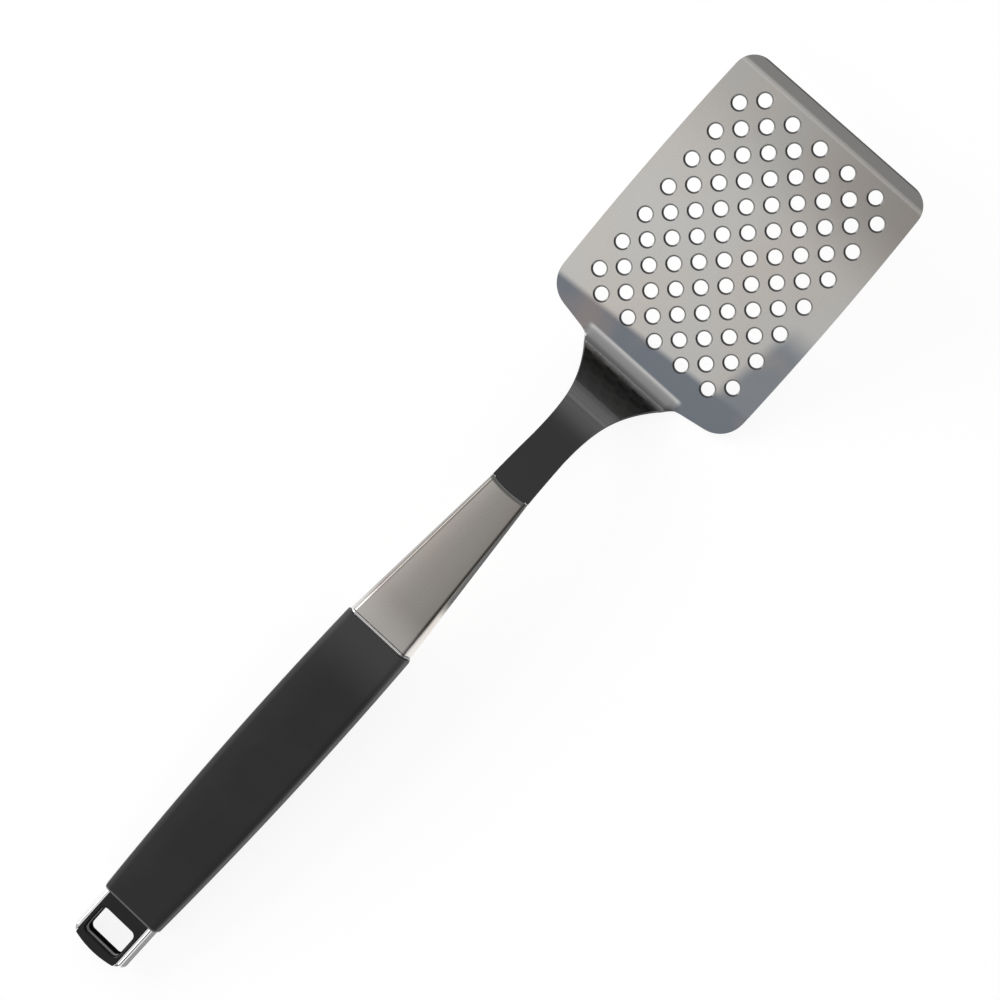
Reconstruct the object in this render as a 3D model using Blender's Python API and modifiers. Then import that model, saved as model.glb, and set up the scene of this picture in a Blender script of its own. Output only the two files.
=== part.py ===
"""Grill spatula: perforated stainless blade, hollow steel handle, moulded grip and a hanging eye.

Two local frames are used, each an empty that its pieces are parented to.
  blade_frame   origin at the middle of the flat blade, +X to its front edge, +Z up out of the blade
  handle_frame  origin in the handle's mouth, +X back towards the blade, +Z out of the handle's top
The whole is then turned to the pose in which it lies on a table, on its heel and its handle end.
"""

import math

import bmesh
import bpy
from mathutils import Matrix, Vector

MM = 0.001
QUARTER_TURN = math.pi / 2.0
GAP = 0.3 * MM  # clearance between neighbouring pieces

# Meshing
MERGE_WITHIN = 0.01 * MM
FLAT_WITHIN = 0.001  # radians between faces that count as one plane
SMOOTH_BELOW = math.radians(30.0)
ARC_STEPS = 5
EDGE_STEPS = 4
ROUND_SEGMENTS = 16
CUT_MARGIN = 5.0 * MM  # how far a cutter stands clear of what it cuts

# Sheet: blade, neck and tang
SHEET = 1.5 * MM
BLADE_FRONT = 62.0 * MM
BLADE_HALF_WIDTH = 48.0 * MM
WIDEST_X = -20.0 * MM
SIDE_BOW_RADIUS = 1525.0 * MM
SIDE_STEP = 20.0 * MM
FRONT_CORNER = 9.0 * MM
REAR_CORNER = 12.3 * MM
REAR_CORNER_X = -60.6 * MM
SHOULDER_X = -64.95 * MM
SHOULDER_HALF_WIDTH = 23.5 * MM
SHOULDER_FILLET = 8.0 * MM
BEVEL_LENGTH = 4.2 * MM
EDGE_THICKNESS = 0.5 * MM

# Perforation: rows half a diagonal apart, five and six holes in turn
HOLE_PITCH = 10.0 * MM
HOLE_RADIUS = 2.8 * MM
HOLE_ROWS = 15
HOLES_IN_ODD_ROW = 5
HOLES_IN_EVEN_ROW = 6
HOLE_SEGMENTS = 12

# Neck: heel bend up, straight riser, long bend back to the handle's slope
HEEL_X = -60.5 * MM
HEEL_RADIUS = 9.0 * MM
HEEL_TURN = math.radians(58.0)
HEEL_STEPS = 6
EASE_RADIUS = 66.0 * MM
EASE_STEPS = 9
NECK_WAIST_AT = 58.0 * MM
NECK_WAIST_HALF = 8.25 * MM
NECK_FLARE = 11.4 * MM
NECK_FLARE_AT = 10.0 * MM
NECK_FLARE_POWER = 2.5
NECK_END_HALF = 9.05 * MM
NECK_STEPS = 8
NECK_SPACING = 1.25  # crowds the outline's points towards the flare
TANG_HALF = 7.6 * MM
TANG_LENGTH = 66.0 * MM
TANG_CORNER = 2.5 * MM

# Handle: mouth position in the blade frame and slope against the blade
MOUTH_X = -120.0 * MM
MOUTH_Z = 48.5 * MM
HANDLE_SLOPE = math.radians(13.3)

# Hollow shell, sizes measured from the centre line; distances run from the mouth to the end
WALL = 0.8 * MM
STEP_AT = 73.9 * MM
SHELL_END = 241.0 * MM
MOUTH_HALF = (9.1 * MM, 2.1 * MM)
STEP_HALF = (15.05 * MM, 7.2 * MM)
SEAT_HALF = (13.9 * MM, 6.2 * MM)
END_HALF = (13.4 * MM, 5.8 * MM)
MOUTH_SAG = 1.5 * MM
END_ROUNDING = 2.9 * MM
SLOT_HALF_WIDTH = 10.3 * MM
SLOT_START = 218.2 * MM
SHELL_STEPS = 4
SEAM_LAND = 0.5 * MM  # upright strip where the two halves meet
SHELL_EDGE = 1.0 * MM
SHELL_EDGE_GROWTH = 0.14  # edge rounding gained per unit of half thickness
SIDE_LEAN = 0.19  # inward lean of the side walls per unit of half thickness

# Collar and grip
COLLAR_LENGTH = 1.4 * MM
COLLAR_PROUD = 0.1 * MM
GRIP_END = 219.9 * MM
GRIP_FULLEST_AT = 125.0 * MM
GRIP_HALF = (16.55 * MM, 8.2 * MM)
GRIP_BARREL = (0.27, 0.14)  # loss of half size per square metre of distance from the fullest section
GRIP_EDGE = 3.0 * MM
GRIP_LEAN = 0.7 * MM
GRIP_STEPS = 8

# Hanging insert
INSERT_FRONT = 204.0 * MM
INSERT_END = 242.1 * MM
INSERT_BULGE = 1.3 * MM
INSERT_CORNER = 0.6 * MM
BULGE_SHARES = (0.5, 0.0, -0.5)  # where the bowed end has its points, as shares of the half width
CORE_CORNER = 2.0 * MM
CORE_RELIEF = 1.4 * MM  # clears the rounded inside of the shell
EYE_START = 225.8 * MM
EYE_END = 237.8 * MM
EYE_HALF_WIDTH = 8.5 * MM
EYE_CORNER = 2.2 * MM

# Hidden fasteners
RIVET_AT = (24.0 * MM, 54.0 * MM)
RIVET_RADIUS = 1.5 * MM
RIVET_HEAD_RADIUS = 3.0 * MM
RIVET_HEAD = 1.0 * MM
HEAD_ROOM = 4.0  # clearances left above a rivet head
SPACER_START = 5.0 * MM
SPACER_END = 70.0 * MM
SPACER_RELIEF = 0.5 * MM  # keeps its square corners out of the shell's rounded ones
PIN_AT = 211.0 * MM
PIN_RADIUS = 1.5 * MM
PIN_CHAMFER = 0.3 * MM

part_collection = None
cutter_collection = None


def clear_scene():
    for obj in list(bpy.data.objects):
        bpy.data.objects.remove(obj, do_unlink=True)


def make_collection(name):
    collection = bpy.data.collections.new(name)
    bpy.context.scene.collection.children.link(collection)
    return collection


def make_material(name, colour, roughness, metallic):
    material = bpy.data.materials.new(name)
    material.use_nodes = True
    shader = material.node_tree.nodes["Principled BSDF"]
    shader.inputs["Base Color"].default_value = (*colour, 1.0)
    shader.inputs["Roughness"].default_value = roughness
    shader.inputs["Metallic"].default_value = metallic
    return material


def make_empty(name, parent=None):
    empty = bpy.data.objects.new(name, None)
    part_collection.objects.link(empty)
    empty.parent = parent
    return empty


def add_object(name, bm, frame, material):
    """Turn a bmesh into a named part under one of the two frames."""
    mesh = bpy.data.meshes.new(name)
    bm.to_mesh(mesh)
    bm.free()
    mesh.materials.append(material)
    obj = bpy.data.objects.new(name, mesh)
    part_collection.objects.link(obj)
    obj.parent = frame
    return obj


def add_cutter(name, bm, frame):
    mesh = bpy.data.meshes.new(name)
    bm.to_mesh(mesh)
    bm.free()
    obj = bpy.data.objects.new(name, mesh)
    cutter_collection.objects.link(obj)
    obj.parent = frame
    obj.hide_render = True
    obj.display_type = "WIRE"
    return obj


def boolean(obj, cutter, operation="DIFFERENCE"):
    modifier = obj.modifiers.new(cutter.name, "BOOLEAN")
    modifier.operation = operation
    modifier.object = cutter
    modifier.solver = "EXACT"


def smooth(obj, angle=SMOOTH_BELOW):
    obj.data.shade_smooth()
    obj.data.set_sharp_from_angle(angle=angle)


# ---------------------------------------------------------------- outlines


def rounded_polygon(corners, steps=ARC_STEPS):
    """Replace each (x, y, radius) corner by an arc; a zero radius keeps the point."""
    points = []
    for i, (x, y, radius) in enumerate(corners):
        here = Vector((x, y))
        if radius == 0.0:
            points.append(here)
            continue
        before = (Vector(corners[i - 1][:2]) - here).normalized()
        after = (Vector(corners[(i + 1) % len(corners)][:2]) - here).normalized()
        half_angle = before.angle(after) / 2.0
        centre = here + (before + after).normalized() * radius / math.sin(half_angle)
        first = here + before * radius / math.tan(half_angle) - centre
        last = here + after * radius / math.tan(half_angle) - centre
        sweep = first.angle_signed(last)
        for k in range(steps + 1):
            turn = Matrix.Rotation(-sweep * k / steps, 2)
            points.append(centre + turn @ first)
    return points


def extrude_outline(points, half_thickness):
    """A flat closed outline as a filled 2D curve, made into a mesh of one n-gon a side."""
    curve = bpy.data.curves.new("outline", "CURVE")
    curve.dimensions = "2D"
    curve.fill_mode = "BOTH"
    curve.extrude = half_thickness
    spline = curve.splines.new("POLY")
    spline.points.add(len(points) - 1)
    for spline_point, point in zip(spline.points, points):
        spline_point.co = (point[0], point[1], 0.0, 1.0)
    spline.use_cyclic_u = True
    carrier = bpy.data.objects.new("outline", curve)
    cutter_collection.objects.link(carrier)
    depsgraph = bpy.context.evaluated_depsgraph_get()
    mesh = bpy.data.meshes.new_from_object(carrier.evaluated_get(depsgraph))
    bpy.data.objects.remove(carrier)
    bpy.data.curves.remove(curve)
    bm = bmesh.new()
    bm.from_mesh(mesh)
    bpy.data.meshes.remove(mesh)
    bmesh.ops.remove_doubles(bm, verts=bm.verts, dist=MERGE_WITHIN)
    bmesh.ops.dissolve_limit(bm, angle_limit=FLAT_WITHIN, verts=bm.verts, edges=bm.edges)
    bmesh.ops.recalc_face_normals(bm, faces=bm.faces)
    return bm


# ---------------------------------------------------------------- the sheet's side profile


def riser_and_run():
    """Lengths of the neck's two straight stretches that bring the sheet to the handle's mouth."""
    bends = Vector((HEEL_X, 0.0))
    bends += HEEL_RADIUS * Vector((-math.sin(HEEL_TURN), 1.0 - math.cos(HEEL_TURN)))
    bends += EASE_RADIUS * Vector((
        -(math.sin(HEEL_TURN) - math.sin(HANDLE_SLOPE)),
        math.cos(HANDLE_SLOPE) - math.cos(HEEL_TURN),
    ))
    missing = Vector((MOUTH_X, MOUTH_Z)) - bends
    riser_way = Vector((-math.cos(HEEL_TURN), math.sin(HEEL_TURN)))
    run_way = Vector((-math.cos(HANDLE_SLOPE), math.sin(HANDLE_SLOPE)))
    across = riser_way.x * run_way.y - riser_way.y * run_way.x
    riser = (missing.x * run_way.y - missing.y * run_way.x) / across
    run = (riser_way.x * missing.y - riser_way.y * missing.x) / across
    return riser, run


RISER, RUN = riser_and_run()
HEEL_ARC = HEEL_RADIUS * HEEL_TURN
EASE_ARC = EASE_RADIUS * (HEEL_TURN - HANDLE_SLOPE)
NECK_LENGTH = HEEL_ARC + RISER + EASE_ARC + RUN


def fold(point):
    """Carry a point of the flat blank to its place on the pressed sheet."""
    along = HEEL_X - point.x  # distance past the heel line, towards the handle
    if along <= 0.0:
        return point.copy()
    position = Vector((HEEL_X, 0.0))
    turn = 0.0
    for length, radius in ((HEEL_ARC, HEEL_RADIUS), (RISER, None), (EASE_ARC, -EASE_RADIUS), (None, None)):
        step = along if length is None else min(along, length)
        if radius is None:
            position += step * Vector((-math.cos(turn), math.sin(turn)))
        else:
            turned = turn + step / radius
            position += radius * Vector((
                -(math.sin(turned) - math.sin(turn)),
                -(math.cos(turned) - math.cos(turn)),
            ))
            turn = turned
        along -= step
        if along <= 0.0:
            break
    normal = Vector((math.sin(turn), math.cos(turn)))
    position += normal * point.z
    return Vector((position.x, point.y, position.y))


def fold_stations():
    """Where the flat blank needs a crosswise edge so that its bends come out round."""
    heel = [HEEL_X - HEEL_ARC * k / HEEL_STEPS for k in range(HEEL_STEPS + 1)]
    start = HEEL_X - HEEL_ARC - RISER
    return heel + [start - EASE_ARC * k / EASE_STEPS for k in range(EASE_STEPS + 1)]


def neck_half_width(along):
    """Half width of the neck at a distance past the heel line."""
    if along < NECK_WAIST_AT:
        share = (NECK_WAIST_AT - along) / (NECK_WAIST_AT - NECK_FLARE_AT)
        return NECK_WAIST_HALF + NECK_FLARE * share**NECK_FLARE_POWER
    share = (along - NECK_WAIST_AT) / (NECK_LENGTH - NECK_WAIST_AT)
    return NECK_WAIST_HALF + (NECK_END_HALF - NECK_WAIST_HALF) * share


def side_half_width(x):
    return BLADE_HALF_WIDTH - (x - WIDEST_X) ** 2 / (2.0 * SIDE_BOW_RADIUS)


def blank_outline():
    mouth_x = HEEL_X - NECK_LENGTH
    half = [(BLADE_FRONT, side_half_width(BLADE_FRONT), FRONT_CORNER)]
    for k in range(2, -3, -1):
        x = k * SIDE_STEP
        half.append((x, side_half_width(x), 0.0))
    half.append((REAR_CORNER_X, side_half_width(REAR_CORNER_X), REAR_CORNER))
    half.append((SHOULDER_X, SHOULDER_HALF_WIDTH, SHOULDER_FILLET))
    for k in range(NECK_STEPS + 1):
        along = NECK_FLARE_AT + (NECK_WAIST_AT - NECK_FLARE_AT) * (k / NECK_STEPS) ** NECK_SPACING
        half.append((HEEL_X - along, neck_half_width(along), 0.0))
    half.append((mouth_x + GAP, NECK_END_HALF, 0.0))
    half.append((mouth_x + GAP, TANG_HALF, 0.0))
    half.append((mouth_x - TANG_LENGTH, TANG_HALF, TANG_CORNER))
    mirrored = [(x, -y, radius) for x, y, radius in reversed(half)]
    return rounded_polygon(half + mirrored)


def hole_centres():
    row_pitch = HOLE_PITCH / math.sqrt(2.0)
    for row in range(HOLE_ROWS):
        k = row - HOLE_ROWS // 2
        count = HOLES_IN_ODD_ROW if k % 2 else HOLES_IN_EVEN_ROW
        for i in range(count):
            yield k * row_pitch, (i - (count - 1) / 2.0) * 2.0 * row_pitch


def add_cylinder(bm, radius, depth, matrix, segments=24):
    bmesh.ops.create_cone(
        bm, cap_ends=True, segments=segments, radius1=radius, radius2=radius, depth=depth, matrix=matrix
    )


def make_blade(frame, material):
    blank = extrude_outline(blank_outline(), SHEET / 2.0)

    bevel_normal = Vector((SHEET - EDGE_THICKNESS, 0.0, BEVEL_LENGTH)).normalized()
    bevel_start = Vector((BLADE_FRONT - BEVEL_LENGTH, 0.0, SHEET / 2.0))
    cut = bmesh.ops.bisect_plane(
        blank, geom=blank.verts[:] + blank.edges[:] + blank.faces[:],
        plane_co=bevel_start, plane_no=bevel_normal, clear_outer=True,
    )
    rim = [e for e in cut["geom_cut"] if isinstance(e, bmesh.types.BMEdge)]
    bmesh.ops.edgenet_fill(blank, edges=rim)
    bmesh.ops.recalc_face_normals(blank, faces=blank.faces)
    obj = add_object("blade", blank, frame, material)

    punches = bmesh.new()
    depth = SHEET + 2.0 * CUT_MARGIN
    for x, y in hole_centres():
        add_cylinder(punches, HOLE_RADIUS, depth, Matrix.Translation((x, y, 0.0)), HOLE_SEGMENTS)
    for at in RIVET_AT:
        place = Matrix.Translation((HEEL_X - NECK_LENGTH - at, 0.0, 0.0))
        add_cylinder(punches, RIVET_RADIUS + GAP, depth, place, HOLE_SEGMENTS)
    cutter = add_cutter("blade_punches", punches, frame)
    boolean(obj, cutter)

    # The press: read the punched blank, score it along the bends and fold it
    depsgraph = bpy.context.evaluated_depsgraph_get()
    punched = bpy.data.meshes.new_from_object(obj.evaluated_get(depsgraph))
    bm = bmesh.new()
    bm.from_mesh(punched)
    bpy.data.meshes.remove(punched)
    for x in fold_stations():
        bmesh.ops.bisect_plane(
            bm, geom=bm.verts[:] + bm.edges[:] + bm.faces[:],
            plane_co=(x, 0.0, 0.0), plane_no=(1.0, 0.0, 0.0),
        )
    for vert in bm.verts:
        vert.co = fold(vert.co)
    obj.modifiers.clear()
    bm.to_mesh(obj.data)
    bm.free()
    bpy.data.objects.remove(cutter)
    smooth(obj)
    return obj


# ---------------------------------------------------------------- handle sections


def blend(a, b, share):
    return tuple(p + (q - p) * share for p, q in zip(a, b))


def shell_half(distance):
    """Outer half width and half thickness of the steel shell."""
    if distance <= STEP_AT:
        return blend(MOUTH_HALF, STEP_HALF, distance / STEP_AT)
    return seat_half(distance)


def seat_half(distance):
    """The part of the shell that the grip covers, carried on to the handle's end."""
    return blend(SEAT_HALF, END_HALF, (distance - STEP_AT) / (SHELL_END - STEP_AT))


def grip_half(distance):
    off = (distance - GRIP_FULLEST_AT) ** 2
    return tuple(size - loss * off for size, loss in zip(GRIP_HALF, GRIP_BARREL))


def upper_section(half_width, half_thickness, edge, lean, floor, steps=EDGE_STEPS):
    """Points from the +Y side over the top to the -Y side: upright land, leaning wall, rounded edge."""
    arc_y = half_width - lean - edge
    arc_z = half_thickness - edge
    side = [(half_width, floor), (half_width, floor + SEAM_LAND)]
    for k in range(steps + 1):
        angle = QUARTER_TURN * k / steps
        side.append((arc_y + edge * math.cos(angle), arc_z + edge * math.sin(angle)))
    side.append((arc_y / 2.0, half_thickness))
    return side + [(0.0, half_thickness)] + [(-y, z) for y, z in reversed(side)]


def shell_section(half_width, half_thickness, floor):
    edge = SHELL_EDGE + SHELL_EDGE_GROWTH * half_thickness
    return upper_section(half_width, half_thickness, edge, SIDE_LEAN * half_thickness, floor)


def whole_ring(upper):
    """Close an upper half section with its mirror image below the centre line."""
    return upper + [(y, -z) for y, z in reversed(upper[1:-1])]


def grip_section(half_width, half_thickness):
    return whole_ring(upper_section(half_width, half_thickness, GRIP_EDGE, GRIP_LEAN, 0.0))


def seat_section(distance, clearance):
    half_width, half_thickness = seat_half(distance)
    return whole_ring(shell_section(half_width + clearance, half_thickness + clearance, 0.0))


def loft(rings, closed, caps):
    """Skin a row of sections that each list the same number of points."""
    bm = bmesh.new()
    rows = [[bm.verts.new(point) for point in ring] for ring in rings]
    count = len(rows[0])
    for first, second in zip(rows, rows[1:]):
        for i in range(count if closed else count - 1):
            j = (i + 1) % count
            bm.faces.new((first[i], first[j], second[j], second[i]))
    if caps:
        bm.faces.new(rows[0])
        bm.faces.new(rows[-1])
    bmesh.ops.recalc_face_normals(bm, faces=bm.faces)
    return bm


def tube_body(distances, section_at):
    """A solid round the handle's centre line through the sections at the given distances."""
    rings = [[(-d, y, z) for y, z in section_at(d)] for d in distances]
    return loft(rings, closed=True, caps=True)


def box_cutter(name, frame, low, high):
    bm = bmesh.new()
    size = Vector(high) - Vector(low)
    centre = (Vector(high) + Vector(low)) / 2.0
    bmesh.ops.create_cube(bm, size=1.0, matrix=Matrix.Translation(centre) @ Matrix.Diagonal((*size, 1.0)))
    return add_cutter(name, bm, frame)


def pin_cutter(frame):
    bm = bmesh.new()
    add_cylinder(bm, PIN_RADIUS + GAP, 2.0 * (SEAT_HALF[0] + CUT_MARGIN), pin_place(), ROUND_SEGMENTS)
    return add_cutter("pin_hole", bm, frame)


def pin_place():
    return Matrix.Translation((-PIN_AT, 0.0, 0.0)) @ Matrix.Rotation(QUARTER_TURN, 4, "X")


# ---------------------------------------------------------------- handle pieces


def shell_stations():
    front = [STEP_AT * k / SHELL_STEPS for k in range(SHELL_STEPS + 1)]
    rear = [STEP_AT + GAP, (STEP_AT + SLOT_START) / 2.0, SLOT_START + END_ROUNDING, SHELL_END - END_ROUNDING]
    return front + rear


def shell_ring(distance, shrink, floor, sag):
    half_width, half_thickness = shell_half(distance)
    ring = []
    for y, z in shell_section(half_width - shrink, half_thickness, floor):
        share = 1.0 - (y / half_width) ** 2
        ring.append((-distance - sag * share, y, z))
    return ring


def make_shell(name, frame, material, side, slot, pin_hole):
    """One stamped half: an open skin with a wall thickness, slotted at the end for the insert."""
    floor = GAP / 2.0
    rings = [shell_ring(d, 0.0, floor, MOUTH_SAG if d == 0.0 else 0.0) for d in shell_stations()]
    for k in range(1, EDGE_STEPS + 1):
        angle = QUARTER_TURN * k / EDGE_STEPS
        distance = SHELL_END - END_ROUNDING + END_ROUNDING * math.sin(angle)
        rings.append(shell_ring(distance, END_ROUNDING * (1.0 - math.cos(angle)), floor, 0.0))
    bm = loft([[(x, y, z * side) for x, y, z in ring] for ring in rings], closed=False, caps=False)
    top_face = max(bm.faces, key=lambda face: abs(face.calc_center_median().z))
    if top_face.normal.z * side < 0.0:
        bmesh.ops.reverse_faces(bm, faces=bm.faces)
    obj = add_object(name, bm, frame, material)
    solidify = obj.modifiers.new("wall", "SOLIDIFY")
    solidify.thickness = WALL
    solidify.offset = -1.0
    solidify.use_even_offset = True
    boolean(obj, slot)
    boolean(obj, pin_hole)
    smooth(obj)
    return obj


def make_spacer(name, frame, material, side, rivet_holes):
    """A tapered block that fills the shell half beside the tang."""
    near = SHEET / 2.0 + GAP
    bm = bmesh.new()
    bmesh.ops.create_cube(bm, size=2.0)
    for vert in bm.verts:
        distance = SPACER_END if vert.co.x < 0.0 else SPACER_START
        half_width, half_thickness = shell_half(distance)
        inner_y = half_width - SIDE_LEAN * half_thickness - WALL - GAP - SPACER_RELIEF
        height = near if vert.co.z < 0.0 else half_thickness - WALL - GAP
        vert.co = (-distance, inner_y * vert.co.y, height)
    bmesh.ops.scale(bm, vec=(1.0, 1.0, side), verts=bm.verts)
    bmesh.ops.recalc_face_normals(bm, faces=bm.faces)
    obj = add_object(name, bm, frame, material)
    boolean(obj, rivet_holes)
    smooth(obj)
    return obj


def rivet_reach(at):
    """Height of a rivet head's outer face above the centre line."""
    return shell_half(at - RIVET_HEAD_RADIUS)[1] - WALL - 2.0 * GAP


def make_rivet(name, frame, material, at):
    bm = bmesh.new()
    add_rivet(bm, at, 0.0)
    bmesh.ops.recalc_face_normals(bm, faces=bm.faces)
    obj = add_object(name, bm, frame, material)
    smooth(obj)
    return obj


def add_rivet(bm, at, clearance):
    """A turned rivet: the profile of shank and two heads spun about the rivet's axis."""
    reach = rivet_reach(at)
    shank = RIVET_RADIUS + clearance
    head = RIVET_HEAD_RADIUS + clearance
    under = reach - RIVET_HEAD - clearance
    top = reach + clearance * HEAD_ROOM
    profile = [(0.0, top), (head, top), (head, under), (shank, under)]
    profile += [(r, -z) for r, z in reversed(profile)]
    verts = [bm.verts.new((-at + r, 0.0, z)) for r, z in profile]
    edges = [bm.edges.new(pair) for pair in zip(verts, verts[1:])]
    bmesh.ops.spin(
        bm, geom=verts + edges, cent=(-at, 0.0, 0.0), axis=(0.0, 0.0, 1.0), angle=2.0 * math.pi,
        steps=ROUND_SEGMENTS, use_merge=True,
    )
    bmesh.ops.remove_doubles(bm, verts=bm.verts, dist=MERGE_WITHIN)


def make_rivet_cutter(frame):
    bm = bmesh.new()
    for at in RIVET_AT:
        add_rivet(bm, at, GAP)
    bmesh.ops.recalc_face_normals(bm, faces=bm.faces)
    return add_cutter("rivet_holes", bm, frame)


def make_seat_cutter(frame):
    bm = tube_body((STEP_AT - CUT_MARGIN, SHELL_END), lambda d: seat_section(d, GAP))
    return add_cutter("seat_space", bm, frame)


def make_collar(frame, material, seat_space):
    start = STEP_AT + GAP * 2.0
    ring = whole_ring(shell_section(*(size + COLLAR_PROUD for size in STEP_HALF), 0.0))
    bm = tube_body((start, start + COLLAR_LENGTH), lambda d: ring)
    obj = add_object("grip_collar", bm, frame, material)
    boolean(obj, seat_space)
    smooth(obj)
    return obj


def make_grip(frame, material, seat_space):
    start = STEP_AT + COLLAR_LENGTH + GAP * 3.0
    stations = [start + (GRIP_END - start) * k / GRIP_STEPS for k in range(GRIP_STEPS + 1)]
    bm = tube_body(stations, lambda d: grip_section(*grip_half(d)))
    obj = add_object("grip_sleeve", bm, frame, material)
    boolean(obj, seat_space)
    smooth(obj)
    return obj


def plan_outline(start, end, half_width, front_corner, end_corner, bulge):
    """Plan of an insert layer, with a rounded front and a bowed end."""
    corners = [(-start, half_width, front_corner)]
    corners.append((-(end - bulge), half_width, end_corner))
    for share in BULGE_SHARES:
        corners.append((-(end - bulge * share * share), half_width * share, 0.0))
    corners.append((-(end - bulge), -half_width, end_corner))
    corners.append((-start, -half_width, front_corner))
    return rounded_polygon(corners)


def make_insert(frame, material, pin_hole):
    slot_edge = SLOT_HALF_WIDTH - GAP
    face_half = END_HALF[1]
    core_half = END_HALF[1] - WALL - GAP
    core_width = END_HALF[0] - WALL - CORE_RELIEF
    faces = extrude_outline(
        plan_outline(SLOT_START + GAP, INSERT_END, slot_edge, 0.0, INSERT_CORNER, INSERT_BULGE), face_half
    )
    obj = add_object("hang_insert", faces, frame, material)
    core = extrude_outline(
        plan_outline(INSERT_FRONT, SHELL_END - WALL - GAP * 3.0, core_width, CORE_CORNER, CORE_CORNER, 0.0),
        core_half,
    )
    boolean(obj, add_cutter("insert_core", core, frame), "UNION")
    eye = extrude_outline(rounded_polygon([
        (-EYE_START, EYE_HALF_WIDTH, EYE_CORNER), (-EYE_END, EYE_HALF_WIDTH, EYE_CORNER),
        (-EYE_END, -EYE_HALF_WIDTH, EYE_CORNER), (-EYE_START, -EYE_HALF_WIDTH, EYE_CORNER),
    ]), 2.0 * face_half)
    boolean(obj, add_cutter("eye", eye, frame))
    boolean(obj, pin_hole)
    smooth(obj)
    return obj


def make_pin(frame, material):
    bm = bmesh.new()
    half_width = seat_half(PIN_AT)[0]
    add_cylinder(bm, PIN_RADIUS, 2.0 * half_width, pin_place(), ROUND_SEGMENTS)
    rims = [edge for edge in bm.edges if abs(edge.verts[0].co.y - edge.verts[1].co.y) < half_width]
    bmesh.ops.bevel(bm, geom=rims, offset=PIN_CHAMFER, segments=1, affect="EDGES", offset_type="OFFSET")
    obj = add_object("insert_pin", bm, frame, material)
    smooth(obj)
    return obj


# ---------------------------------------------------------------- resting pose


def rest_tilt():
    """Turn about Y that brings the heel and the handle's lower end edge to one height."""
    heel_centre = Vector((HEEL_X, HEEL_RADIUS))
    heel_radius = HEEL_RADIUS + SHEET / 2.0
    back = Vector((-math.cos(HANDLE_SLOPE), math.sin(HANDLE_SLOPE)))
    out = Vector((math.sin(HANDLE_SLOPE), math.cos(HANDLE_SLOPE)))
    end_edge = Vector((MOUTH_X, MOUTH_Z)) + back * INSERT_END - out * END_HALF[1]
    span = heel_centre - end_edge
    return math.asin(heel_radius / span.length) - math.atan2(span.y, span.x)


def stand_on_floor(root):
    """Move the root so that the middle of the footprint, at floor height, is the origin."""
    bpy.context.view_layer.update()
    depsgraph = bpy.context.evaluated_depsgraph_get()
    points = []
    for obj in part_collection.objects:
        if obj.type == "MESH":
            evaluated = obj.evaluated_get(depsgraph)
            mesh = evaluated.to_mesh()
            points += [obj.matrix_world @ vert.co for vert in mesh.vertices]
            evaluated.to_mesh_clear()
    low = [min(p[i] for p in points) for i in range(3)]
    high = [max(p[i] for p in points) for i in range(3)]
    root.location -= Vector(((low[0] + high[0]) / 2.0, (low[1] + high[1]) / 2.0, low[2]))


def main():
    global part_collection, cutter_collection
    clear_scene()
    part_collection = make_collection("grill_spatula")
    cutter_collection = make_collection("cutters")

    satin_steel = make_material("satin_steel", (0.42, 0.42, 0.41), 0.30, 1.0)
    brushed_steel = make_material("brushed_steel", (0.38, 0.37, 0.35), 0.34, 1.0)
    polished_steel = make_material("polished_steel", (0.72, 0.72, 0.72), 0.12, 1.0)
    grip_black = make_material("grip_black", (0.035, 0.035, 0.037), 0.62, 0.0)
    gloss_black = make_material("gloss_black", (0.010, 0.010, 0.010), 0.16, 0.0)
    nylon = make_material("nylon", (0.20, 0.20, 0.19), 0.55, 0.0)
    rivet_steel = make_material("rivet_steel", (0.55, 0.55, 0.53), 0.28, 1.0)

    blade_frame = make_empty("blade_frame")
    blade_frame.rotation_euler.y = -rest_tilt()
    handle_frame = make_empty("handle_frame", blade_frame)
    handle_frame.location = (MOUTH_X, 0.0, MOUTH_Z)
    handle_frame.rotation_euler.y = HANDLE_SLOPE

    make_blade(blade_frame, satin_steel)

    slot_height = STEP_HALF[1] + CUT_MARGIN
    slot_low = (-SHELL_END - CUT_MARGIN, -SLOT_HALF_WIDTH, -slot_height)
    slot = box_cutter("end_slot", handle_frame, slot_low, (-SLOT_START, SLOT_HALF_WIDTH, slot_height))
    pin_hole = pin_cutter(handle_frame)
    rivet_holes = make_rivet_cutter(handle_frame)
    seat_space = make_seat_cutter(handle_frame)

    make_shell("handle_shell_top", handle_frame, brushed_steel, 1.0, slot, pin_hole)
    make_shell("handle_shell_bottom", handle_frame, brushed_steel, -1.0, slot, pin_hole)
    make_spacer("tang_spacer_top", handle_frame, nylon, 1.0, rivet_holes)
    make_spacer("tang_spacer_bottom", handle_frame, nylon, -1.0, rivet_holes)
    for name, at in zip(("tang_rivet_front", "tang_rivet_rear"), RIVET_AT):
        make_rivet(name, handle_frame, rivet_steel, at)
    make_collar(handle_frame, polished_steel, seat_space)
    make_grip(handle_frame, grip_black, seat_space)
    make_insert(handle_frame, gloss_black, pin_hole)
    make_pin(handle_frame, rivet_steel)

    stand_on_floor(blade_frame)


main()
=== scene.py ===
import math

import bmesh
import bpy
from mathutils import Matrix, Vector


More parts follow.
